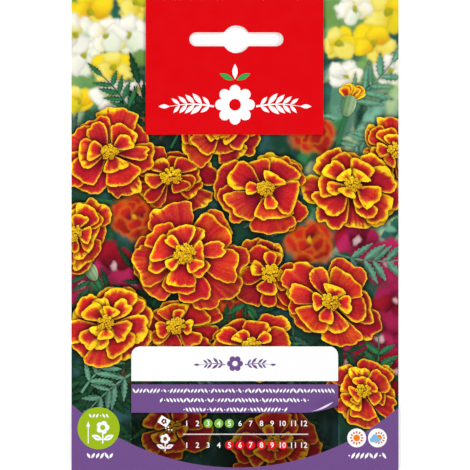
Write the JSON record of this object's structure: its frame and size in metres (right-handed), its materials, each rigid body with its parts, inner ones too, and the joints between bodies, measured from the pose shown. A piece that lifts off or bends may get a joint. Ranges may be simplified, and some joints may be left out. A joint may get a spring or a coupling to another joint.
{
  "type": "seed packet",
  "caption": "Flat four-side-sealed paper seed packet with a flower-printed front, a hang slot through its welded header and loose marigold seeds sealed inside.",
  "frame": {"origin": "under the middle of the packet, on the surface that its back lies on", "axes": "+Z out of the printed front, +Y up the print towards the header with the hang slot, +X to the right as the front is read"},
  "size_m": [0.118, 0.17, 0.0042],
  "materials": {
    "front_laminate": "satin printed paper laminate, full-colour flower print, plain colour panels",
    "back_laminate": "satin printed paper laminate, pale with coloured bands",
    "seed_coat": "dry, finely ribbed dark seed coat with pale straw scales"
  },
  "bodies": {
    "root": {"front_web": "front_laminate", "back_web": "back_laminate", "seed_01": "seed_coat", "seed_02": "seed_coat", "seed_03": "seed_coat", "seed_04": "seed_coat", "seed_05": "seed_coat", "seed_06": "seed_coat", "seed_07": "seed_coat", "seed_08": "seed_coat", "seed_09": "seed_coat", "seed_10": "seed_coat", "seed_11": "seed_coat", "seed_12": "seed_coat", "seed_13": "seed_coat", "seed_14": "seed_coat", "seed_15": "seed_coat", "seed_16": "seed_coat", "seed_17": "seed_coat", "seed_18": "seed_coat", "seed_19": "seed_coat", "seed_20": "seed_coat", "seed_21": "seed_coat", "seed_22": "seed_coat", "seed_23": "seed_coat", "seed_24": "seed_coat", "seed_25": "seed_coat", "seed_26": "seed_coat", "seed_27": "seed_coat", "seed_28": "seed_coat", "seed_29": "seed_coat", "seed_30": "seed_coat", "seed_31": "seed_coat", "seed_32": "seed_coat", "seed_33": "seed_coat", "seed_34": "seed_coat", "seed_35": "seed_coat", "seed_36": "seed_coat", "seed_37": "seed_coat", "seed_38": "seed_coat", "seed_39": "seed_coat", "seed_40": "seed_coat", "seed_41": "seed_coat", "seed_42": "seed_coat", "seed_43": "seed_coat", "seed_44": "seed_coat", "seed_45": "seed_coat", "seed_46": "seed_coat", "seed_47": "seed_coat", "seed_48": "seed_coat", "seed_49": "seed_coat", "seed_50": "seed_coat"}
  },
  "joints": []
}
